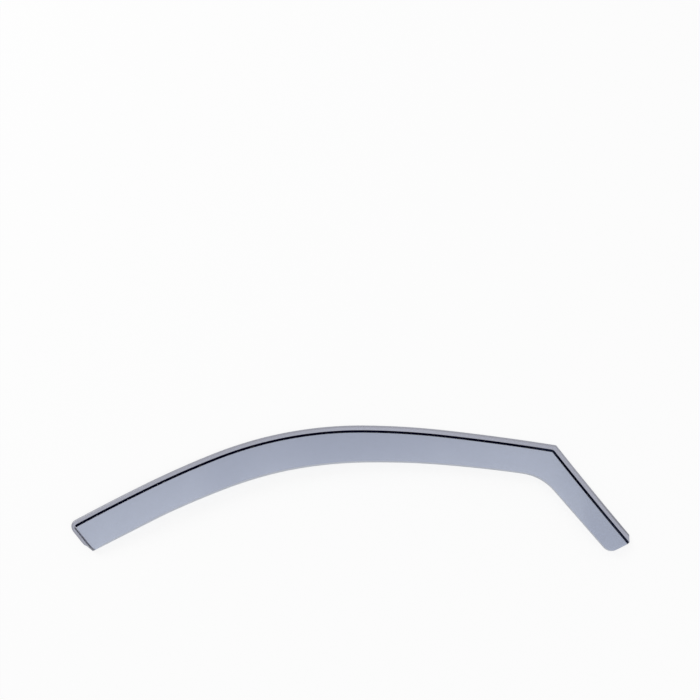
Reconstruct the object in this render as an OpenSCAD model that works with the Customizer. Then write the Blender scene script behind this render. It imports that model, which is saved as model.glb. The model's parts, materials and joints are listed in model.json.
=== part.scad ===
// Window rain deflector for a front side door of a car.
// One thin smoked sheet, formed in one piece: a flange that slides into the window channel,
// a steep shoulder, and a blade that leans out over the glass.
// It lies as it rests on a table with its outer face up: +X to the front of the car, +Y up the door.

/* [Sheet] */
// Thickness of the sheet
sheet_t = 3; // [2:0.1:3.4]
// Height of the blade over the flange, at the shoulder
step_h = 5; // [4.5:0.5:8]
// Angle by which the blade leans away from the glass
flare_a = 9; // [4:0.5:14]
// Steepness of the shoulder wall
wall_a = 76; // [66:1:80]
// Bend radius on the inner side of each fold
fold_r = 0.6; // [0.4:0.1:0.8]
// Rounding of the cut edges
edge_r = 0.7; // [0.3:0.1:0.7]

/* [Top line] */
// Rise of the top line at the rear corner
rise_a = 28.2; // [24:0.2:32]
// Length of the nearly straight run after the rear corner
rear_run_l = 121; // [100:1:150]
// Radius of the rear run
rear_run_r = 3200; // [2000:100:6000]
// Length of the rear shoulder of the arch
haunch_l = 110; // [80:5:140]
// Radius of the rear shoulder of the arch
haunch_r = 1420; // [1000:10:2000]
// Length of the crown of the arch
crown_l = 230; // [190:5:270]
// Radius of the crown of the arch
crown_r = 592; // [520:2:700]
// Length of the front shoulder of the arch
brow_l = 120; // [90:5:150]
// Radius of the front shoulder of the arch
brow_r = 1200; // [900:10:1600]
// Length of the front run, up to the pillar corner
front_run_l = 163.2; // [130:0.4:190]
// Radius of the front run
front_run_r = 3600; // [2500:100:6000]
// Turn of the shoulder line at the pillar corner
pillar_a = 42.6; // [36:0.2:46]
// Radius of the shoulder line at the pillar corner
pillar_r = 4; // [3.8:0.2:8]
// Length of the leg that runs down the front pillar
leg_l = 178; // [150:1:210]
// Radius of the leg's shoulder line, which bows towards the blade
leg_r = 5500; // [3000:100:20000]

/* [Blade] */
// Width of the blade at the rear
blade_rear_w = 45.4; // [40:0.1:52]
// Width of the blade under the crown
blade_crown_w = 47.6; // [42:0.1:54]
// Width of the blade before the pillar corner
blade_front_w = 40.3; // [35:0.1:46]
// Width of the leg at the pillar corner
leg_top_w = 38.1; // [34:0.1:42]
// Width of the leg at the front tip
leg_tip_w = 32.6; // [29:0.1:38]
// Distance before the pillar corner at which the lower edge starts to bend
bend_back = 39; // [35:1:54]
// Width over which the lean of the blade turns the corner
bend_blend = 14; // [8:1:20]

/* [Flange] */
// Width of the flange at the rear end
flange_end_w = 5.8; // [5:0.1:8]
// Width of the flange at the rear corner
flange_rear_w = 8.6; // [7:0.1:10]
// Width of the flange at the front
flange_front_w = 9.4; // [8:0.1:11]
// Rounding of the outer flange corner at the pillar
flange_corner_r = 3; // [1:0.5:6]
// Thickness of the outer rim of the flange
rim_t = 1.8; // [1.2:0.1:1.9]
// Width of the bevel that thins the rim
bevel_w = 2.8; // [1.5:0.1:3.2]

/* [Ends] */
// Angle between the rear edge and the top line
rear_a = 79.5; // [74:0.5:90]
// Radius of the shoulder line at the rear corner
rear_corner_r = 4.5; // [4:0.5:9]
// Distance by which the rear flange stops before the lower rear corner
rear_flange_cut = 10; // [6:0.5:14]
// Length over which the rear flange narrows to its end
rear_flange_fade = 6; // [5:0.5:10]
// Distance by which the rim of the flange is cut back at its rear end
rear_flange_skew = 3.5; // [2:0.1:4]
// Distance by which the shoulder line draws in at its rear end
rear_tuck = 1.5; // [0:0.1:2]
// Share of the blade's lean that is left at the rear edge
rear_lean = 0.35; // [0.2:0.05:1]
// Distance from the rear edge at which the blade has its full lean
rear_lean_l = 110; // [60:5:160]
// Angle between the front end edge and the leg
tip_a = 77.5; // [72:0.5:90]
// Rounding of the lower corner at the front tip
tip_r = 16; // [6:0.5:18]
// Distance by which the flange stops before the front tip
tip_flange_cut = 9; // [4:0.5:12]

/* [Glass curve] */
// Lengthwise bow radius of the glass
glass_bow_r = 20000; // [14000:1000:40000]
// Upright curve radius of the glass
glass_barrel_r = 1500; // [1300:50:2500]

/* [Hidden] */

smoke = [0.36, 0.38, 0.46, 0.8];
half_t = sheet_t / 2;
mid_r = fold_r + half_t;
flare = tan(flare_a);
blade_half = half_t / cos(flare_a);
edge_in = [1, 1 - cos(45), 0];
edge_down = [0, 1 - cos(45), 1];
fold_steps = 5;
blade_steps = 4;

// Least width of flange left at the rear end, and largest share of a flange that its bevel takes
foot_lip = 0.5;
bevel_share = 0.7;

// Shares of the top line between which the blade widens to the crown and narrows to the front
widen = [0.1, 0.4];
narrow = [0.5, 0.96];

// Shares of the straight rear stretch of the lower edge at which the first runs begin
rear_share = [0.08, 0.16, 0.26, 1];

function arc_l(r, a) = r * a * PI / 180;
function heading(h) = [cos(h), sin(h)];
function inward(h) = [sin(h), -cos(h)];
function mix(a, b, f) = a + (b - a) * f;
function ease(f) = let (g = min(max(f, 0), 1)) g * g * (3 - 2 * g);
function smooth_min(a, b, w) = let (h = max(w - abs(a - b), 0) / w) min(a, b) - h * h * w / 4;

// Point on an arc that leaves p at angle h and turns right by a over length l
function arc_at(p, h, l, a, f) =
    let (r = l * 180 / PI / (a == 0 ? 1 : a))
    let (chord = a == 0 ? l * f : 2 * r * sin(a * f / 2))
    p + chord * heading(h - a * f / 2);

// Crossing of two lines, each given by a point and an angle
function crossing(p, hp, q, hq) =
    p + heading(hp) * ((q - p) * inward(hq)) / (heading(hp) * inward(hq));

rear_turn = 180 - rear_a;
rear_len = blade_rear_w / sin(rear_a);
rear_tangent = rear_corner_r * tan(rear_turn / 2);
leg_tip_l = tip_r * 1.8;

// Runs of the shoulder line: length, turn to the right, steps and name
function curved_run(l, r, steps, name) = [l, l / arc_l(r, 1), steps, name];
function turned_run(r, a, steps, name) = [arc_l(r, a), a, steps, name];
function straight_run(l, steps, name) = [l, 0, steps, name];

// Shoulder line, from the rear end round to the front tip
runs = [
    straight_run(rear_len - rear_tangent, 14, "rear"),
    turned_run(rear_corner_r, rear_turn, 10, "corner"),
    curved_run(rear_run_l, rear_run_r, 9, "top"),
    curved_run(haunch_l, haunch_r, 9, "haunch"),
    curved_run(crown_l, crown_r, 22, "crown"),
    curved_run(brow_l, brow_r, 10, "brow"),
    curved_run(front_run_l - bend_back, front_run_r, 7, "front"),
    curved_run(bend_back, front_run_r, 8, "bend"),
    turned_run(pillar_r, pillar_a, 6, "pillar"),
    curved_run(bend_back, -leg_r, 8, "leg"),
    curved_run(leg_l - bend_back - leg_tip_l, -leg_r, 9, "shank"),
    curved_run(leg_tip_l, -leg_r, 9, "tip")
];
function run(name) = search([name], runs, 1, 3)[0];

rear = run("rear");
corner = run("corner");
top = run("top");
crown = run("crown");
front = run("front");
bend = run("bend");
pillar = run("pillar");
leg = run("leg");
shank = run("shank");
tip = run("tip");
last = len(runs);

// Start point and heading of each run, and its distance along the line
starts = [
    for (k = 0, p = [0, 0], h = rise_a + rear_turn; k <= last;
         p = k < last ? arc_at(p, h, runs[k][0], runs[k][1], 1) : p,
         h = k < last ? h - runs[k][1] : h,
         k = k + 1)
        [p, h]
];
travel = [for (k = 0, s = 0; k <= last; s = k < last ? s + runs[k][0] : s, k = k + 1) s];

// Share of the taper at the rear end, which is full at the end and gone where the flange begins
function rear_taper(k, f) = k == rear ? 1 - ease(runs[k][0] * f / rear_flange_cut) : 0;

function angle_at(k, f) = starts[k][1] - runs[k][1] * f;
function line_at(k, f) =
    arc_at(starts[k][0], starts[k][1], runs[k][0], runs[k][1], f) +
    across(k, f) * rear_tuck * rear_taper(k, f);

// Width of the blade along the top line
function top_travel(k, f) = travel[k] - travel[top] + runs[k][0] * f;
top_l = top_travel(pillar, 0);
function ease_over(band, f) = ease((f - band[0]) / (band[1] - band[0]));
function blade_w(s) =
    mix(mix(blade_rear_w, blade_crown_w, ease_over(widen, s / top_l)),
        blade_front_w, ease_over(narrow, s / top_l));

// Lower edge: fixed points that its straight runs and bends are drawn through
rear_low = starts[rear][0];
rear_run_low = line_at(top, 1) + inward(angle_at(top, 1)) * blade_w(rear_run_l);
rear_low_h = atan2(rear_run_low[1] - rear_low[1], rear_run_low[0] - rear_low[0]);
bend_in_h = starts[bend][1];
bend_in = starts[bend][0] + inward(bend_in_h) * blade_w(top_travel(bend, 0));
leg_end = starts[last][0];
leg_end_h = starts[last][1];
leg_low_a = starts[leg][0] + inward(starts[leg][1]) * leg_top_w;
leg_low_b = leg_end + inward(leg_end_h) * leg_tip_w;
leg_low_h = atan2(leg_low_b[1] - leg_low_a[1], leg_low_b[0] - leg_low_a[0]);
bend_corner = crossing(bend_in, bend_in_h, leg_low_a, leg_low_h);
bend_t = norm(bend_corner - bend_in);
bend_turn = bend_in_h - leg_low_h;
bend_r = bend_t / tan(bend_turn / 2);
bend_out = bend_corner + heading(leg_low_h) * bend_t;
end_h = leg_end_h + 180 + tip_a;
tip_corner = crossing(leg_low_b, leg_low_h, leg_end, end_h);
tip_turn = end_h - 180 - leg_low_h;
tip_t = tip_r * tan(tip_turn / 2);
tip_in = tip_corner - heading(leg_low_h) * tip_t;

function low_at(k, f) =
    k <= top ? mix(rear_low, rear_run_low, mix(rear_share[k], rear_share[k + 1], f)) :
    k <= front ? line_at(k, f) + inward(angle_at(k, f)) * blade_w(top_travel(k, f)) :
    k <= leg ? arc_at(bend_in, bend_in_h, arc_l(bend_r, bend_turn), bend_turn,
                      (travel[k] - travel[bend] + runs[k][0] * f) / (travel[shank] - travel[bend])) :
    k == shank ? mix(bend_out, tip_in, f) :
    arc_at(tip_in, leg_low_h, arc_l(tip_r, tip_turn), -tip_turn, f);

// Direction across the sheet, which swings to the line of the lower edge at the rear end
function across(k, f) =
    k == rear ? heading(mix(rear_low_h, starts[rear][1] - 90, ease(2 * f))) : inward(angle_at(k, f));

// Distance of a point from the top line and from the rear edge, which set how far the blade leans out
function beyond(p, k) = (p - starts[k][0]) * inward(starts[k][1]);
function lean_share(p) = mix(rear_lean, 1, ease(beyond(p, rear) / rear_lean_l));
function lean_line(k, f) = k < top ? beyond(line_at(k, f), top) * rear_lean : 0;
function lean_square(k, f) = (low_at(k, f) - line_at(k, f)) * across(k, f);
function lean_low(k, f) =
    lean_share(low_at(k, f)) * (
        k < top ? beyond(low_at(k, f), top) :
        k == bend ? smooth_min(lean_square(k, f), beyond(low_at(k, f), leg), bend_blend) :
        k == pillar ? smooth_min(beyond(low_at(k, f), pillar), beyond(low_at(k, f), leg), bend_blend) :
        k == leg ? smooth_min(beyond(low_at(k, f), pillar), lean_square(k, f), bend_blend) :
        lean_square(k, f)
    );
function lean_slope(k, f) =
    lean_share(line_at(k, f)) * (k < top ? across(k, f) * inward(starts[top][1]) : 1);

// Shoulder section: height of the blade's middle layer over the line, and where its lower fold starts
function base_z(k, f) = half_t + step_h + flare * lean_line(k, f);
function fold_out(k, f) = -(base_z(k, f) - half_t) / 2 / tan(wall_a) - mid_r * tan(wall_a / 2);

// Outer edge of the flange
corner_shift = (pillar_r + flange_front_w - flange_corner_r) * tan(pillar_a / 2);
function flange_w(k, f) =
    k == rear ? mix(foot_lip - fold_out(k, f), flange_end_w,
                    ease((runs[k][0] * f - rear_flange_cut) / rear_flange_fade)) :
    k == corner ? mix(flange_end_w, flange_rear_w, ease(f)) :
    mix(flange_rear_w, flange_front_w, min(top_travel(k, f) / top_travel(bend, 0), 1));
function flange_shift(k, f) =
    k == bend ? corner_shift * f :
    k == leg ? -corner_shift * (1 - f) :
    k == tip ? -tip_flange_cut * f :
    0;
pillar_h = starts[pillar][1];
rim_bend = starts[pillar][0] - inward(pillar_h) * flange_front_w + heading(pillar_h) * corner_shift;
function rim_share(k, f) = f + rear_flange_skew * rear_taper(k, f) / runs[k][0];
function rim_at(k, f) =
    k == pillar ? arc_at(rim_bend, pillar_h, arc_l(flange_corner_r, pillar_a), pillar_a, f) :
    let (g = rim_share(k, f))
    line_at(k, g) - across(k, g) * flange_w(k, g) + heading(angle_at(k, f)) * flange_shift(k, f);

// One face of the sheet at a station, from the rim of the flange to the lower edge.
// side is 1 for the outer face and -1 for the face towards the glass.
function face_at(k, f, side) =
    let (line = line_at(k, f))
    let (in = across(k, f))
    let (rim = rim_at(k, f))
    let (low = low_at(k, f))
    let (slope = flare * lean_slope(k, f))
    let (slope_a = atan(slope))
    let (top_z = base_z(k, f))
    let (meet = (top_z - half_t) / 2 / (tan(wall_a) - slope))
    let (fold_in = meet + mid_r * tan((wall_a - slope_a) / 2) * cos(slope_a))
    let (fold_z = top_z + slope * fold_in)
    let (hub_q = fold_in + mid_r * sin(slope_a))
    let (hub_z = fold_z - mid_r * cos(slope_a))
    let (outer_r = mid_r - side * half_t)
    let (inner_r = mid_r + side * half_t)
    let (foot = line + in * fold_out(k, f))
    let (flat_l = norm(foot - rim))
    let (along = (foot - rim) / flat_l)
    let (bevel = min(bevel_w, flat_l * bevel_share))
    let (root = line + in * fold_in)
    let (root_lean = lean_line(k, f) + fold_in * lean_slope(k, f))
    let (out = (low - root) / norm(low - root))
    let (rim_z = side > 0 ? rim_t : 0)
    let (flat_z = side > 0 ? sheet_t : 0)
    let (low_z = half_t + step_h + flare * lean_low(k, f) + side * blade_half)
    let (rim_r = edge_r / 2)
    concat(
        [
            [rim[0], rim[1], rim_z - side * rim_r],
            [rim[0] + along[0] * rim_r, rim[1] + along[1] * rim_r, rim_z],
            [rim[0] + along[0] * bevel, rim[1] + along[1] * bevel, flat_z]
        ],
        [
            for (j = [0:fold_steps])
                let (a = wall_a * j / fold_steps)
                let (p = line + in * (fold_out(k, f) + outer_r * sin(a)))
                [p[0], p[1], half_t + mid_r - outer_r * cos(a)]
        ],
        [
            for (j = [0:fold_steps])
                let (a = mix(wall_a, slope_a, j / fold_steps))
                let (p = line + in * (hub_q - inner_r * sin(a)))
                [p[0], p[1], hub_z + inner_r * cos(a)]
        ],
        [
            for (j = [1:blade_steps - 1])
                let (p = mix(root, low, j / blade_steps))
                let (lean = mix(root_lean, lean_low(k, f), j / blade_steps))
                [p[0], p[1], half_t + step_h + flare * lean + side * blade_half]
        ],
        [
            for (j = [0:2])
                let (back = edge_r * edge_in[j])
                [low[0] - out[0] * back, low[1] - out[1] * back, low_z - side * edge_r * edge_down[j]]
        ]
    );

stations = [
    for (k = [0:last - 1])
        for (j = [(k == rear ? 0 : 1):runs[k][2]])
            [k, j / runs[k][2]]
];
outer_face = [for (s = stations) face_at(s[0], s[1], 1)];
inner_face = [for (s = stations) face_at(s[0], s[1], -1)];
face_n = len(outer_face[0]);
loop_n = 2 * face_n;
flat_pts = [
    for (i = [0:len(stations) - 1])
        for (j = [0:loop_n - 1])
            j < face_n ? outer_face[i][j] : inner_face[i][loop_n - 1 - j]
];

// Plan centre, then the curve of the glass, levelled so that the sheet rests on three flange points
function span(list, axis) = [min([for (p = list) p[axis]]), max([for (p = list) p[axis]])];
x_span = span(flat_pts, 0);
y_span = span(flat_pts, 1);
centre = [(x_span[0] + x_span[1]) / 2, (y_span[0] + y_span[1]) / 2];
function glass_z(x, y) =
    -pow(x - centre[0], 2) / (2 * glass_bow_r) - pow(y - centre[1], 2) / (2 * glass_barrel_r);
function on_glass(p) = [p[0], p[1], glass_z(p[0], p[1])];
rear_rest = on_glass(rim_at(rear, 0));
crown_rest = on_glass(rim_at(crown, min(starts[crown][1] / runs[crown][1], 1)));
tip_rest = on_glass(rim_at(tip, 1));
level = cross(crown_rest - rear_rest, tip_rest - rear_rest);
function level_z(x, y) =
    rear_rest[2] - (level[0] * (x - rear_rest[0]) + level[1] * (y - rear_rest[1])) / level[2];
curved_pts = [
    for (p = flat_pts)
        [p[0] - centre[0], p[1] - centre[1], p[2] + glass_z(p[0], p[1]) - level_z(p[0], p[1])]
];
ground_z = min([for (p = curved_pts) p[2]]);
pts = [for (p = curved_pts) [p[0], p[1], p[2] - ground_z]];

skin = [
    for (i = [0:len(stations) - 2])
        for (j = [0:loop_n - 1])
            let (a = i * loop_n + j)
            let (b = i * loop_n + (j + 1) % loop_n)
            each [[a, b + loop_n, b], [a, a + loop_n, b + loop_n]]
];
function end_cap(first, flip) = [
    for (j = [0:face_n - 2])
        let (a = first + j)
        let (b = first + j + 1)
        let (c = first + loop_n - 2 - j)
        let (d = first + loop_n - 1 - j)
        each flip ? [[a, b, c], [a, c, d]] : [[a, c, b], [a, d, c]]
];

module visor() {
    color(smoke)
        polyhedron(
            points = pts,
            faces = concat(skin, end_cap(0, true), end_cap((len(stations) - 1) * loop_n, false)),
            convexity = 6
        );
}

visor();
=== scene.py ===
"""Looks of a window rain deflector: one formed sheet of smoked acrylic that lies on a pale floor."""

import json
from math import atan2, cos, pi, radians, sin

import bmesh
import bpy
from bpy.props import (
    FloatProperty,
    FloatVectorProperty,
    IntProperty,
    PointerProperty,
)
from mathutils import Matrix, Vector
from mathutils.bvhtree import BVHTree

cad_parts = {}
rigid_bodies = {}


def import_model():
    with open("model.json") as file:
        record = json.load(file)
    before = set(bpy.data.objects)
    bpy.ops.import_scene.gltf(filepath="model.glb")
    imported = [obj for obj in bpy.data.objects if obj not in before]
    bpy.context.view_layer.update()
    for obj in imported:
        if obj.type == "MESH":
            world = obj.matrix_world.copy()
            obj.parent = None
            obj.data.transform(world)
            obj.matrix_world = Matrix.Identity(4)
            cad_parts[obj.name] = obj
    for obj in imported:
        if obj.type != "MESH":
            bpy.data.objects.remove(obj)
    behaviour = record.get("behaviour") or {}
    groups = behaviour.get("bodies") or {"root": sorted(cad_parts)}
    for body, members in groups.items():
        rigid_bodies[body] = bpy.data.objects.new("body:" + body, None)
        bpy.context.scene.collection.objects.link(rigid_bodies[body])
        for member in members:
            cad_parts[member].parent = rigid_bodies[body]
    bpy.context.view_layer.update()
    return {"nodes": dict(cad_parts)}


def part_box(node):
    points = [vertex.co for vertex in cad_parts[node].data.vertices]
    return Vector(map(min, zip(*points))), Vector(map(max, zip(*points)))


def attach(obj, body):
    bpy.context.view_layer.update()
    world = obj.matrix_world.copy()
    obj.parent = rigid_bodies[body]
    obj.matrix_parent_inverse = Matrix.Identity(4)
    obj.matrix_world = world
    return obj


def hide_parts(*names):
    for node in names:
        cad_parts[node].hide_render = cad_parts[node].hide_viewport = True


bl_info = {
    "name": "Window rain deflector",
    "version": (1, 0, 0),
    "blender": (4, 5, 0),
    "location": "3D View > Sidebar > Deflector",
    "description": "A smoked acrylic rain deflector for a front side window, with its stage",
    "category": "Object",
}

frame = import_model()
MM = 0.001

# Closing the skin: how near two corners are one, and how bent and skewed a four-sided face may be
MERGE_REACH = 0.002 * MM
QUAD_BEND = radians(30)
QUAD_SKEW = radians(120)
SHARP_RIM = radians(50)

# Tilt of the zones' faces from the floor
BEVEL_TILT = (radians(12), radians(38))
SHOULDER_TILT = radians(20)
UNDER_SHOULDER_TILT = radians(60)

# Where the closed rear end faces, seen from above, and how far its faces turn from that
REAR_END_HEADING = radians(28)
REAR_END_SPREAD = radians(50)

# Middle of the arch, and how far the shoulder and the lower edge lie from it
ARCH_MIDDLE = (0.054, -0.657, 0.015)
ARCH_SHOULDER = 0.745
ARCH_LOWER_EDGE = 0.7

# Line down the middle of the closed rear end: the way it faces, and its distance from the origin
END_LINE_OUTWARD = (-0.77, -0.638, 0)
END_LINE_DISTANCE = 0.3576

# How deep the marks lie that forming and trimming left in the surface
RELIEF = 0.03 * MM


# Settings

class SheetSettings(bpy.types.PropertyGroup):
    """Sizes of the formed sheet"""

    end_round: FloatProperty(
        name="End rounding",
        description="Width of the rounding along the two cut ends",
        default=0.35 * MM,
        min=0.05 * MM,
        max=0.6 * MM,
        unit="LENGTH",
        precision=5,
    )
    edge_reach: FloatProperty(
        name="Edge reach",
        description="How far the cut edge's finish reaches in from the outline",
        default=0.55 * MM,
        min=0.3 * MM,
        max=1.5 * MM,
        unit="LENGTH",
        precision=5,
    )
    bevel_reach: FloatProperty(
        name="Bevel reach",
        description="How far the thinned rim of the flange reaches in from the outline",
        default=2.6 * MM,
        min=1 * MM,
        max=4 * MM,
        unit="LENGTH",
        precision=5,
    )
    bevel_crease: FloatProperty(
        name="Bevel crease",
        description="Sharpness of the line where the thinned rim meets the flange",
        default=0.85,
        min=0,
        max=1,
        subtype="FACTOR",
    )
    refine_levels: IntProperty(
        name="Refinement",
        description="Subdivision levels of the folds, corners and rounded edges",
        default=2,
        min=0,
        max=2,
    )
    smooth_angle: FloatProperty(
        name="Smooth angle",
        description="Edges flatter than this are shaded smooth",
        default=radians(40),
        min=0,
        max=pi,
        subtype="ANGLE",
    )


class FinishSettings(bpy.types.PropertyGroup):
    """Colours and gloss of the smoked acrylic, with its painted reflection and painted shade"""

    # The blade's own smoke tint, painted paler and deeper by place as painted reflection
    smoke_in_painted_light: FloatVectorProperty(
        name="Pale smoke",
        description="Colour that the blade leaves of white light where forming stretched it and it is palest",
        default=(0.449, 0.489, 0.597),
        subtype="COLOR",
        min=0,
        max=1,
    )
    smoke_in_painted_shade: FloatVectorProperty(
        name="Deep smoke",
        description="Colour that the blade leaves of white light where it is deepest",
        default=(0.347, 0.383, 0.487),
        subtype="COLOR",
        min=0,
        max=1,
    )
    flange_smoke: FloatVectorProperty(
        name="Flange smoke",
        description="Colour that the flange leaves of white light, which is warmer than the blade's",
        default=(0.39, 0.402, 0.478),
        subtype="COLOR",
        min=0,
        max=1,
    )
    polish: FloatProperty(
        name="Polish",
        description="Roughness of the polished faces",
        default=0.03,
        min=0,
        max=1,
        subtype="FACTOR",
    )
    # The thinned rim's smoke is painted darker than the flange's as painted shade
    rim_smoke_in_painted_shade: FloatVectorProperty(
        name="Rim smoke",
        description="Colour that the thinned rim of the flange leaves of white light",
        default=(0.295, 0.294, 0.335),
        subtype="COLOR",
        min=0,
        max=1,
    )
    rim_satin: FloatProperty(
        name="Rim satin",
        description="Roughness of the thinned rim of the flange",
        default=0.2,
        min=0,
        max=1,
        subtype="FACTOR",
    )
    edge_smoke: FloatVectorProperty(
        name="Edge smoke",
        description="Colour that the trimmed edges leave of white light",
        default=(0.47, 0.495, 0.56),
        subtype="COLOR",
        min=0,
        max=1,
    )
    edge_satin: FloatProperty(
        name="Edge satin",
        description="Roughness of the trimmed edges",
        default=0.3,
        min=0,
        max=1,
        subtype="FACTOR",
    )
    # Painted shade: the steep shoulder is painted near black, as light doesn't cross its wall, a little
    # lighter at the pillar corner and the tip
    painted_shoulder_shade: FloatVectorProperty(
        name="Shoulder tone",
        description="Tone of the steep shoulder, which light doesn't cross",
        default=(0.0008, 0.0012, 0.008),
        subtype="COLOR",
        min=0,
        max=1,
    )
    painted_corner_and_tip_shade: FloatVectorProperty(
        name="Drawn tone",
        description="Tone of the shoulder where it was drawn thinner, at the pillar corner and the tip",
        default=(0.008, 0.011, 0.028),
        subtype="COLOR",
        min=0,
        max=1,
    )
    # Painted shade: a near-black line down the middle of the closed rear end
    end_line_painted_shade: FloatVectorProperty(
        name="End smoke",
        description="Colour that the closed rear end leaves of white light along its middle line",
        default=(0.004, 0.005, 0.015),
        subtype="COLOR",
        min=0,
        max=1,
    )


class StageSettings(bpy.types.PropertyGroup):
    """Floor, lamps and camera"""

    floor_size: FloatProperty(
        name="Floor size",
        description="Side of the square floor",
        default=14,
        min=1,
        unit="LENGTH",
    )
    floor_colour: FloatVectorProperty(
        name="Floor colour",
        description="Colour of the floor in its own light and shade",
        default=(0.95, 0.95, 0.95),
        subtype="COLOR",
        min=0,
        max=1,
    )
    floor_shade: FloatProperty(
        name="Floor shade",
        description="Share of the object's shadow that the white floor shows",
        default=0.18,
        min=0,
        max=1,
        subtype="FACTOR",
    )
    view_width: FloatProperty(
        name="View width",
        description="Width of the view where the object lies",
        default=1.0546,
        min=0.1,
        unit="LENGTH",
    )
    view_centre: FloatVectorProperty(
        name="View centre",
        description="Point of the floor in the middle of the view",
        default=(-0.0006, 0.2083),
        size=2,
        subtype="XYZ",
        unit="LENGTH",
    )
    view_height: FloatProperty(
        name="View height",
        description="Height of the camera over the floor",
        default=12,
        min=1,
        unit="LENGTH",
    )


# Selecting by place and normal

def deselect_all():
    if bpy.context.object and bpy.context.object.mode != "OBJECT":
        bpy.ops.object.mode_set(mode="OBJECT")
    bpy.ops.object.select_all(action="DESELECT")


def edit(piece, select_mode):
    deselect_all()
    bpy.context.view_layer.objects.active = piece
    piece.select_set(True)
    bpy.ops.object.mode_set(mode="EDIT")
    bpy.ops.mesh.select_mode(type=select_mode)
    bpy.ops.mesh.select_all(action="DESELECT")


def select_faces(piece, wanted):
    """Selects the faces that wanted(face) is true for, in edit mode."""
    shape = bmesh.from_edit_mesh(piece.data)
    for face in shape.faces:
        face.select_set(bool(wanted(face)))
    shape.select_flush_mode()
    bmesh.update_edit_mesh(piece.data)


def level_outward(face):
    """A face's normal without its upward part, one unit long."""
    level = Vector((face.normal.x, face.normal.y, 0))
    return level.normalized() if level.length > 1e-6 else level


def tilt(face):
    """Angle between a face and the floor."""
    return atan2(Vector(face.normal[:2]).length, abs(face.normal.z))


class Outline:
    """The sheet seen from above, to ask how close a face lies to its outline."""

    def __init__(self, piece):
        self.tree = BVHTree.FromObject(piece, bpy.context.evaluated_depsgraph_get())

    def covers(self, point):
        return self.tree.ray_cast(Vector((point.x, point.y, 1)), Vector((0, 0, -1)))[0] is not None

    def is_near(self, face, reach):
        beyond = face.calc_center_median() + level_outward(face) * reach
        return not self.covers(beyond)


# Shared effects of the finish

def shared_effect(name, inputs, outputs):
    """A new shader node group with its input and output nodes."""
    group = bpy.data.node_groups.new(name, "ShaderNodeTree")
    for label, kind, value in inputs:
        socket = group.interface.new_socket(label, in_out="INPUT", socket_type=kind)
        if value is not None:
            socket.default_value = value
    for label, kind in outputs:
        group.interface.new_socket(label, in_out="OUTPUT", socket_type=kind)
    return group, group.nodes.new("NodeGroupInput"), group.nodes.new("NodeGroupOutput")


def node(tree, kind, **values):
    """A new node; values set its properties, or its inputs where it has no such property."""
    made = tree.nodes.new(kind)
    for key, value in values.items():
        if hasattr(made, key):
            setattr(made, key, value)
        else:
            made.inputs[key.replace("_", " ").title()].default_value = value
    return made


def math_node(tree, operation, first, second):
    """A Math node fed by two sockets or numbers."""
    made = node(tree, "ShaderNodeMath", operation=operation)
    for slot, source in zip(made.inputs, (first, second)):
        if isinstance(source, bpy.types.NodeSocket):
            tree.links.new(source, slot)
        else:
            slot.default_value = source
    return made.outputs[0]


def noise(tree, vector, scale, detail, roughness=0.5):
    made = node(tree, "ShaderNodeTexNoise", scale=scale, detail=detail, roughness=roughness)
    tree.links.new(vector, made.inputs["Vector"])
    return made.outputs["Fac"]


def ramp(tree, source, low, high):
    """Spreads the source's values from low to high over 0 to 1."""
    made = node(tree, "ShaderNodeMapRange")
    made.interpolation_type = "SMOOTHSTEP"
    made.inputs["From Min"].default_value = low
    made.inputs["From Max"].default_value = high
    tree.links.new(source, made.inputs["Value"])
    return made.outputs["Result"]


def distance(tree, vector, point):
    made = node(tree, "ShaderNodeVectorMath", operation="DISTANCE")
    made.inputs[1].default_value = point
    tree.links.new(vector, made.inputs[0])
    return made.outputs["Value"]


def stretched(tree, vector, scale, turn=(0, 0, 0)):
    made = node(tree, "ShaderNodeMapping")
    made.inputs["Scale"].default_value = scale
    made.inputs["Rotation"].default_value = turn
    tree.links.new(vector, made.inputs["Vector"])
    return made.outputs["Vector"]


def formed_surface_and_painted_reflection():
    """Long waves and fine peel that forming leaves in a sheet, and a painted reflection tone from pale to
    deep with random clouds.
    """
    group, given, out = shared_effect(
        "formed_surface_and_painted_reflection",
        (("Vector", "NodeSocketVector", None), ("Peel share", "NodeSocketFloat", 0.12)),
        (
            ("Height", "NodeSocketFloat"),
            ("Cloud", "NodeSocketFloat"),
            ("Depth", "NodeSocketFloat"),
            ("Crown", "NodeSocketFloat"),
            ("Corner", "NodeSocketFloat"),
            ("Tip", "NodeSocketFloat"),
        ),
    )
    place = given.outputs["Vector"]
    waves = noise(group, place, 22, 1)
    peel = math_node(group, "MULTIPLY", noise(group, place, 900, 2), given.outputs["Peel share"])
    group.links.new(math_node(group, "ADD", waves, peel), out.inputs["Height"])
    cloud = ramp(group, noise(group, place, 7, 3), 0.3, 0.7)
    group.links.new(cloud, out.inputs["Cloud"])
    group.links.new(painted_reflection_along(group, place, cloud), out.inputs["Depth"])
    # output, its middle, how far it reaches and how far it is full
    for label, middle, reach, full in (
        ("Crown", (0.055, 0.093, 0.003), 0.15, 0.04),
        ("Corner", (0.295, 0.053, 0.01), 0.025, 0.01),
        ("Tip", (0.42, -0.075, 0.004), 0.13, 0.03),
    ):
        group.links.new(ramp(group, distance(group, place, middle), reach, full), out.inputs[label])
    return group


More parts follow.
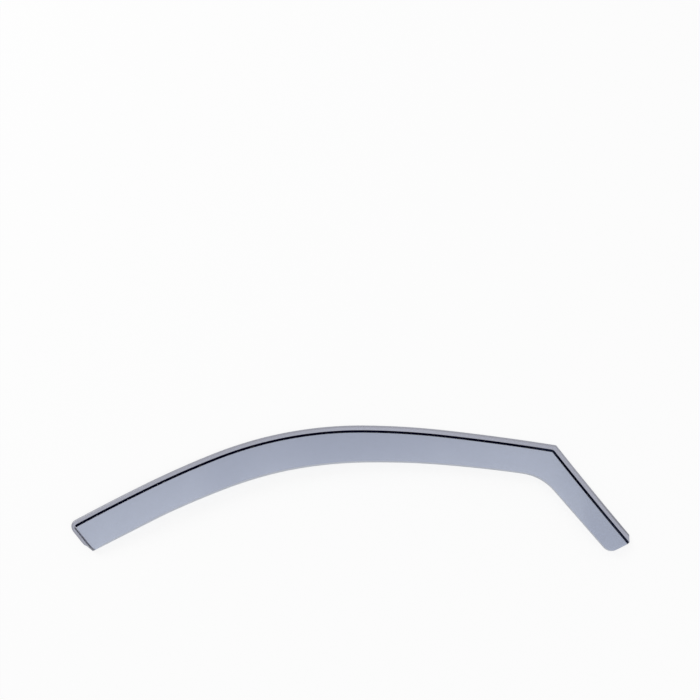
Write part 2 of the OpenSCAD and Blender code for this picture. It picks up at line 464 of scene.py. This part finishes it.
def painted_reflection_along(group, place, cloud):
    """Painted reflection tone from pale to deep along the sheet: deepest under the crown and at the tip, with
    soft random clouds in the sheet's own tone.
    """
    low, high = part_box("visor")
    split = node(group, "ShaderNodeSeparateXYZ")
    group.links.new(place, split.inputs[0])
    share = node(group, "ShaderNodeMapRange")
    share.inputs["From Min"].default_value = low.x
    share.inputs["From Max"].default_value = high.x
    group.links.new(split.outputs["X"], share.inputs["Value"])
    # Painted reflection: bands of paler and deeper tone along the length
    bands = node(group, "ShaderNodeValToRGB")
    bands.color_ramp.interpolation = "EASE"
    # share of the length, tone
    stops = (
        (0.06, 0.05),
        (0.12, 0.17),
        (0.16, 0.3),
        (0.2, 0.33),
        (0.28, 0.66),
        (0.35, 0.57),
        (0.47, 0.9),
        (0.62, 0.77),
        (0.67, 0.57),
        (0.8, 0.27),
        (0.85, 0.3),
        (0.9, 0.57),
        (0.935, 0.95),
        (0.97, 0.88),
    )
    while len(bands.color_ramp.elements) < len(stops):
        bands.color_ramp.elements.new(0.5)
    for stop, (position, tone) in zip(bands.color_ramp.elements, stops):
        stop.position = position
        stop.color = (tone, tone, tone, 1)
    group.links.new(share.outputs["Result"], bands.inputs["Fac"])
    total = bands.outputs["Color"]
    for mask, amount in ((cloud, 0.16), (painted_reflection_across(group, place), -0.28)):
        around_mean = math_node(group, "SUBTRACT", mask, 0.5)
        total = math_node(group, "ADD", total, math_node(group, "MULTIPLY", around_mean, amount))
    return total


def painted_reflection_across(group, place):
    """Mask of the painted reflection tone across the blade: 0 along the shoulder to 1 along the lower edge,
    by the distance from the middle of the arch.
    """
    share = node(group, "ShaderNodeMapRange")
    share.inputs["From Min"].default_value = ARCH_SHOULDER
    share.inputs["From Max"].default_value = ARCH_LOWER_EDGE
    group.links.new(distance(group, place, ARCH_MIDDLE), share.inputs["Value"])
    return share.outputs["Result"]


def handling_marks():
    """Hairlines from wiping and a little settled dust."""
    group, given, out = shared_effect(
        "handling_marks",
        (("Vector", "NodeSocketVector", None),),
        (("Hairlines", "NodeSocketFloat"), ("Dust", "NodeSocketFloat")),
    )
    place = given.outputs["Vector"]
    # squeeze of the noise in x, y and z, its turn, and the band of its values that fades in the hairlines
    along, across = (
        ramp(group, noise(group, stretched(group, place, squeeze, turn), 1, 2), *band)
        for squeeze, turn, band in (
            ((25, 900, 300), (0, 0, 0.5), (0.66, 0.72)),
            ((700, 40, 300), (0, 0, 0.2), (0.68, 0.74)),
        )
    )
    group.links.new(math_node(group, "MAXIMUM", along, across), out.inputs["Hairlines"])
    specks = ramp(group, noise(group, place, 1300, 0), 0.76, 0.8)
    patches = ramp(group, noise(group, place, 16, 2), 0.42, 0.66)
    group.links.new(math_node(group, "MULTIPLY", specks, patches), out.inputs["Dust"])
    return group


def trimming_marks():
    """Upright lines that the cutter leaves along a trimmed edge."""
    group, given, out = shared_effect(
        "trimming_marks",
        (("Vector", "NodeSocketVector", None),),
        (("Height", "NodeSocketFloat"), ("Burnish", "NodeSocketFloat")),
    )
    place = given.outputs["Vector"]
    lines = noise(group, stretched(group, place, (1, 1, 0.04)), 1600, 1)
    group.links.new(lines, out.inputs["Height"])
    group.links.new(ramp(group, noise(group, place, 60, 2), 0.35, 0.65), out.inputs["Burnish"])
    return group


def end_line():
    """Mask of the painted shade line: 1 along the middle of the closed rear end, where light doesn't cross
    it, to 0 beside it.
    """
    group, given, out = shared_effect(
        "end_line",
        (("Vector", "NodeSocketVector", None),),
        (("Line", "NodeSocketFloat"),),
    )
    outward = node(group, "ShaderNodeVectorMath", operation="DOT_PRODUCT")
    outward.inputs[1].default_value = END_LINE_OUTWARD
    group.links.new(given.outputs["Vector"], outward.inputs[0])
    beside = math_node(group, "SUBTRACT", outward.outputs["Value"], END_LINE_DISTANCE)
    off = math_node(group, "ABSOLUTE", beside, 0)
    group.links.new(ramp(group, off, 1.8 * MM, 0.8 * MM), out.inputs["Line"])
    return group


def shade(colour, share):
    return [share * part for part in colour]


class Finish:
    """A smoked acrylic material: its shader and the shared effects that feed it."""

    def __init__(self, name):
        self.material = bpy.data.materials.new(name)
        self.material.use_nodes = True
        self.tree = self.material.node_tree
        self.shader = self.tree.nodes["Principled BSDF"]
        self.shader.inputs["IOR"].default_value = 1.49
        self.shader.inputs["Transmission Weight"].default_value = 1
        place = node(self.tree, "ShaderNodeTexCoord").outputs["Object"]
        self.effects = {}
        for effect in ("formed_surface_and_painted_reflection", "handling_marks", "trimming_marks", "end_line"):
            used = node(self.tree, "ShaderNodeGroup", node_tree=bpy.data.node_groups[effect])
            self.tree.links.new(place, used.inputs["Vector"])
            self.effects[effect] = used

    def mask(self, effect, output):
        return self.effects[effect].outputs[output]

    def colour(self, pale, deep, mask):
        """Base colour that goes from pale to deep with the mask."""
        blend = node(self.tree, "ShaderNodeMix", data_type="RGBA")
        ends = [socket for socket in blend.inputs if socket.type == "RGBA"]
        for socket, tone in zip(ends, (pale, deep)):
            socket.default_value = (*tone, 1)
        self.tree.links.new(mask, blend.inputs["Factor"])
        result = next(s for s in blend.outputs if s.type == "RGBA")
        self.tree.links.new(result, self.shader.inputs["Base Color"])

    def roughness(self, least, *added):
        """Roughness that grows from the least by each (mask, amount)."""
        total = least
        for mask, amount in added:
            total = math_node(self.tree, "ADD", math_node(self.tree, "MULTIPLY", mask, amount), total)
        self.tree.links.new(total, self.shader.inputs["Roughness"])

    def wiped(self, polish):
        """Roughness of polished faces that were wiped and gathered a little dust."""
        marks = "handling_marks"
        self.roughness(polish, (self.mask(marks, "Hairlines"), 0.05), (self.mask(marks, "Dust"), 0.25))

    def relief(self, height, depth):
        bump = node(self.tree, "ShaderNodeBump")
        bump.inputs["Strength"].default_value = 1
        bump.inputs["Distance"].default_value = depth
        self.tree.links.new(height, bump.inputs["Height"])
        self.tree.links.new(bump.outputs["Normal"], self.shader.inputs["Normal"])


# Pieces

class DEFLECTOR_OT_form_sheet(bpy.types.Operator):
    """Form the sheet: a closed copy of the frame's node with rounded ends and smooth folds"""

    bl_idname = "deflector.form_sheet"
    bl_label = "Formed sheet"

    def execute(self, context):
        sizes = context.scene.deflector_sheet
        sheet = bpy.data.objects.new("smoked_sheet", frame["nodes"]["visor"].data.copy())
        context.scene.collection.objects.link(sheet)
        sheet.data.name = sheet.name
        sheet.data.materials.clear()
        self.close(sheet)
        self.round_ends(sheet, sizes)
        self.crease_bevel(sheet, sizes)
        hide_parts("visor")
        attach(sheet, "root")
        return {"FINISHED"}

    def close(self, sheet):
        """Joins the loose triangles into one closed skin of four-sided faces."""
        edit(sheet, "FACE")
        bpy.ops.mesh.select_all(action="SELECT")
        bpy.ops.mesh.remove_doubles(threshold=MERGE_REACH)
        bpy.ops.mesh.normals_make_consistent(inside=False)
        bpy.ops.mesh.tris_convert_to_quads(face_threshold=QUAD_BEND, shape_threshold=QUAD_SKEW)
        bpy.ops.object.mode_set(mode="OBJECT")
        shape = bmesh.new()
        shape.from_mesh(sheet.data)
        if any(len(edge.link_faces) != 2 for edge in shape.edges):
            raise RuntimeError("the sheet's skin isn't closed")
        shape.free()

    def round_ends(self, sheet, sizes):
        """Rounds the sharp rims of the two end faces, as the cut edges are rounded."""
        edit(sheet, "EDGE")
        bpy.ops.mesh.edges_select_sharp(sharpness=SHARP_RIM)
        bpy.ops.mesh.bevel(
            offset=sizes.end_round,
            segments=2,
            profile=0.5,
            affect="EDGES",
            clamp_overlap=True,
        )
        bpy.ops.object.mode_set(mode="OBJECT")

    def crease_bevel(self, sheet, sizes):
        """Keeps the line between the flange and its thinned rim crisp."""
        outline = Outline(sheet)
        edit(sheet, "FACE")
        select_faces(sheet, lambda face: on_bevel(face, outline, sizes))
        bpy.ops.mesh.region_to_loop()
        bpy.ops.transform.edge_crease(value=sizes.bevel_crease)
        bpy.ops.object.mode_set(mode="OBJECT")


# Zones of the sheet

def on_edge(face, outline, sizes):
    return outline.is_near(face, sizes.edge_reach)


def on_bevel(face, outline, sizes):
    least, most = BEVEL_TILT
    return (
        least < tilt(face) < most
        and face.normal.z > 0
        and outline.is_near(face, sizes.bevel_reach)
        and not on_edge(face, outline, sizes)
    )


def on_shoulder(face, outline, sizes):
    least = SHOULDER_TILT if face.normal.z > 0 else UNDER_SHOULDER_TILT
    return (
        tilt(face) > least
        and not on_edge(face, outline, sizes)
        and not on_bevel(face, outline, sizes)
    )


def on_rear_end(face, outline, sizes):
    rear = Vector((-cos(REAR_END_HEADING), -sin(REAR_END_HEADING), 0))
    outward = level_outward(face) if face.normal.z > 0 else -level_outward(face)
    return on_shoulder(face, outline, sizes) and outward.dot(rear) > cos(REAR_END_SPREAD)


def select_flange(sheet, outline, sizes):
    """Selects the two flat sides of the flange: what joins its highest faces while the walls are hidden."""
    edit(sheet, "FACE")
    select_faces(
        sheet,
        lambda face: on_edge(face, outline, sizes)
        or on_bevel(face, outline, sizes)
        or on_shoulder(face, outline, sizes),
    )
    bpy.ops.mesh.hide(unselected=False)
    shape = bmesh.from_edit_mesh(sheet.data)
    shown = [face for face in shape.faces if not face.hide]
    for side in (1, -1):
        facing = [face for face in shown if face.normal.z * side > 0]
        max(facing, key=lambda face: face.calc_center_median().y).select_set(True)
    bpy.ops.mesh.select_linked()


class DEFLECTOR_OT_finish_sheet(bpy.types.Operator):
    """Give the sheet its polished faces, a shoulder and rear end in painted shade, a thinned rim in painted
    shade and trimmed edges
    """

    bl_idname = "deflector.finish_sheet"
    bl_label = "Smoked finish"

    def execute(self, context):
        settings = context.scene.deflector_finish
        sizes = context.scene.deflector_sheet
        formed_surface_and_painted_reflection()
        handling_marks()
        trimming_marks()
        end_line()
        sheet = context.scene.objects["smoked_sheet"]
        outline = Outline(sheet)
        self.cover(sheet, self.polished(settings), None)
        self.cover(sheet, self.flange(settings), lambda: select_flange(sheet, outline, sizes))
        for finish, place in (
            (self.shoulder(settings), on_shoulder),
            (self.closed_end(settings), on_rear_end),
            (self.thinned(settings), on_bevel),
            (self.trimmed(settings), on_edge),
        ):
            self.cover(sheet, finish, lambda: select_faces(sheet, lambda face: place(face, outline, sizes)))
        self.refine(sheet, sizes)
        return {"FINISHED"}

    def cover(self, sheet, finish, select):
        """Gives the finish to the faces that select() selects, or to the whole sheet."""
        sheet.data.materials.append(finish.material)
        if select is not None:
            edit(sheet, "FACE")
            select()
            sheet.active_material_index = len(sheet.data.materials) - 1
            bpy.ops.object.material_slot_assign()
            bpy.ops.mesh.reveal(select=False)
            bpy.ops.object.mode_set(mode="OBJECT")

    def polished(self, settings):
        finish = Finish("polished_blade")
        # Base colour goes from pale to deep with the painted reflection tone and random clouds
        finish.colour(settings.smoke_in_painted_light, settings.smoke_in_painted_shade, finish.mask("formed_surface_and_painted_reflection", "Depth"))
        finish.wiped(settings.polish)
        finish.relief(finish.mask("formed_surface_and_painted_reflection", "Height"), RELIEF)
        return finish

    def flange(self, settings):
        finish = Finish("polished_flange")
        smoke = settings.flange_smoke
        finish.colour(smoke, shade(smoke, 1.1), finish.mask("formed_surface_and_painted_reflection", "Crown"))
        finish.wiped(settings.polish * 1.5)
        finish.relief(finish.mask("formed_surface_and_painted_reflection", "Height"), RELIEF)
        return finish

    def shoulder(self, settings):
        # Painted shade: the shoulder is an opaque, unglossed near-black band, a little lighter at the pillar
        # corner and the tip
        finish = Finish("shoulder_in_painted_shade")
        finish.shader.inputs["Transmission Weight"].default_value = 0
        finish.shader.inputs["Specular IOR Level"].default_value = 0
        corner, tip = (finish.mask("formed_surface_and_painted_reflection", output) for output in ("Corner", "Tip"))
        # Where the painted shade is made a little lighter: the pillar corner and the tip
        drawn = math_node(finish.tree, "MAXIMUM", corner, tip)
        finish.colour(settings.painted_shoulder_shade, settings.painted_corner_and_tip_shade, drawn)
        finish.wiped(settings.polish * 2)
        finish.relief(finish.mask("formed_surface_and_painted_reflection", "Height"), RELIEF)
        return finish

    def closed_end(self, settings):
        finish = Finish("closed_end")
        # Painted shade: near black along the end's middle line, the flange's smoke made darker beside it, and
        # no gloss
        finish.shader.inputs["Specular IOR Level"].default_value = 0
        beside = shade(settings.flange_smoke, 0.85)
        finish.colour(beside, settings.end_line_painted_shade, finish.mask("end_line", "Line"))
        finish.wiped(settings.polish * 2)
        finish.relief(finish.mask("formed_surface_and_painted_reflection", "Height"), RELIEF)
        return finish

    def thinned(self, settings):
        finish = Finish("thinned_rim_in_painted_shade")
        smoke = settings.rim_smoke_in_painted_shade
        # Painted shade: the rim is darker than the flange, and darker still towards the tip
        finish.colour(smoke, shade(smoke, 0.52), finish.mask("formed_surface_and_painted_reflection", "Tip"))
        finish.roughness(settings.rim_satin, (finish.mask("trimming_marks", "Burnish"), 0.08))
        finish.relief(finish.mask("formed_surface_and_painted_reflection", "Height"), RELIEF)
        return finish

    def trimmed(self, settings):
        finish = Finish("trimmed_edge")
        smoke = settings.edge_smoke
        finish.colour(smoke, shade(smoke, 0.94), finish.mask("trimming_marks", "Height"))
        finish.roughness(settings.edge_satin, (finish.mask("trimming_marks", "Burnish"), 0.12))
        finish.relief(finish.mask("trimming_marks", "Height"), RELIEF)
        return finish

    def refine(self, sheet, sizes):
        deselect_all()
        bpy.context.view_layer.objects.active = sheet
        sheet.select_set(True)
        if sizes.refine_levels:
            smooth = sheet.modifiers.new("refine", "SUBSURF")
            smooth.levels = smooth.render_levels = sizes.refine_levels
            bpy.ops.object.modifier_apply(modifier=smooth.name)
        bpy.ops.object.shade_smooth_by_angle(angle=sizes.smooth_angle)


class DEFLECTOR_OT_set_stage(bpy.types.Operator):
    """Lay the floor, light it softly and look straight down on the sheet"""

    bl_idname = "deflector.set_stage"
    bl_label = "Stage"

    def execute(self, context):
        settings = context.scene.deflector_stage
        self.lay_floor(settings)
        self.light(context)
        self.look_down(context, settings)
        context.scene.view_settings.view_transform = "Standard"
        return {"FINISHED"}

    def seen_directly(self, tree):
        """1 for what the camera sees straight, mirrored or through the sheet."""
        ray = node(tree, "ShaderNodeLightPath")
        seen = math_node(tree, "MAXIMUM", ray.outputs["Is Camera Ray"], ray.outputs["Is Glossy Ray"])
        return math_node(tree, "MAXIMUM", seen, ray.outputs["Is Transmission Ray"])

    def lay_floor(self, settings):
        deselect_all()
        bpy.ops.mesh.primitive_plane_add(size=settings.floor_size)
        floor = bpy.context.object
        floor.name = "floor"
        material = bpy.data.materials.new("pale_floor")
        material.use_nodes = True
        tree = material.node_tree
        matt = tree.nodes["Principled BSDF"]
        matt.inputs["Base Color"].default_value = (*settings.floor_colour, 1)
        matt.inputs["Roughness"].default_value = 0.9
        matt.inputs["Specular IOR Level"].default_value = 0
        white = node(tree, "ShaderNodeEmission")
        white.inputs["Strength"].default_value = 1
        blend = node(tree, "ShaderNodeMixShader")
        tree.links.new(
            math_node(tree, "MULTIPLY", self.seen_directly(tree), 1 - settings.floor_shade),
            blend.inputs["Fac"],
        )
        tree.links.new(matt.outputs["BSDF"], blend.inputs[1])
        tree.links.new(white.outputs["Emission"], blend.inputs[2])
        tree.links.new(blend.outputs["Shader"], tree.nodes["Material Output"].inputs["Surface"])
        floor.data.materials.append(material)

    def light(self, context):
        world = bpy.data.worlds.new("studio")
        world.use_nodes = True
        context.scene.world = world
        tree = world.node_tree
        sky = tree.nodes["Background"]
        sky.inputs["Color"].default_value = (1, 1, 1, 1)
        strength = node(tree, "ShaderNodeMapRange")
        strength.inputs["To Min"].default_value = 0.68
        strength.inputs["To Max"].default_value = 1
        tree.links.new(self.seen_directly(tree), strength.inputs["Value"])
        tree.links.new(strength.outputs["Result"], sky.inputs["Strength"])
        # name, place, side of the square panel, power
        for name, place, side, power in (
            ("key_panel", (-2.4, 2.0, 2.1), 1.8, 42),
            ("fill_panel", (2.6, -1.4, 1.9), 1.8, 16),
        ):
            deselect_all()
            aim = Vector(place).to_track_quat("Z", "Y").to_euler()
            bpy.ops.object.light_add(type="AREA", location=place, rotation=aim)
            lamp = bpy.context.object
            lamp.name = name
            lamp.data.size = side
            lamp.data.energy = power
            lamp.visible_camera = False

    def look_down(self, context, settings):
        deselect_all()
        x, y = settings.view_centre
        bpy.ops.object.camera_add(location=(x, y, settings.view_height), rotation=(0, 0, 0))
        camera = bpy.context.object
        camera.data.sensor_width = 36
        camera.data.lens = camera.data.sensor_width * settings.view_height / settings.view_width
        camera.data.clip_end = 100
        context.scene.camera = camera


class DEFLECTOR_PT_panel(bpy.types.Panel):
    """Sidebar panel with the deflector's pieces and its stage"""

    bl_idname = "DEFLECTOR_PT_panel"
    bl_label = "Deflector"
    bl_space_type = "VIEW_3D"
    bl_region_type = "UI"
    bl_category = "Deflector"

    def draw(self, context):
        scene = context.scene
        for title, settings, operator in (
            ("Sheet", scene.deflector_sheet, DEFLECTOR_OT_form_sheet),
            ("Finish", scene.deflector_finish, DEFLECTOR_OT_finish_sheet),
            ("Stage", scene.deflector_stage, DEFLECTOR_OT_set_stage),
        ):
            box = self.layout.box()
            box.label(text=title)
            for name in settings.__annotations__:
                box.prop(settings, name)
            box.operator(operator.bl_idname)


CLASSES = (
    SheetSettings,
    FinishSettings,
    StageSettings,
    DEFLECTOR_OT_form_sheet,
    DEFLECTOR_OT_finish_sheet,
    DEFLECTOR_OT_set_stage,
    DEFLECTOR_PT_panel,
)


def register():
    for made in CLASSES:
        bpy.utils.register_class(made)
    bpy.types.Scene.deflector_sheet = PointerProperty(type=SheetSettings)
    bpy.types.Scene.deflector_finish = PointerProperty(type=FinishSettings)
    bpy.types.Scene.deflector_stage = PointerProperty(type=StageSettings)


def unregister():
    del bpy.types.Scene.deflector_stage
    del bpy.types.Scene.deflector_finish
    del bpy.types.Scene.deflector_sheet
    for made in reversed(CLASSES):
        bpy.utils.unregister_class(made)


def main():
    register()
    bpy.ops.deflector.form_sheet()
    bpy.ops.deflector.finish_sheet()
    bpy.ops.deflector.set_stage()


if __name__ == "__main__":
    main()
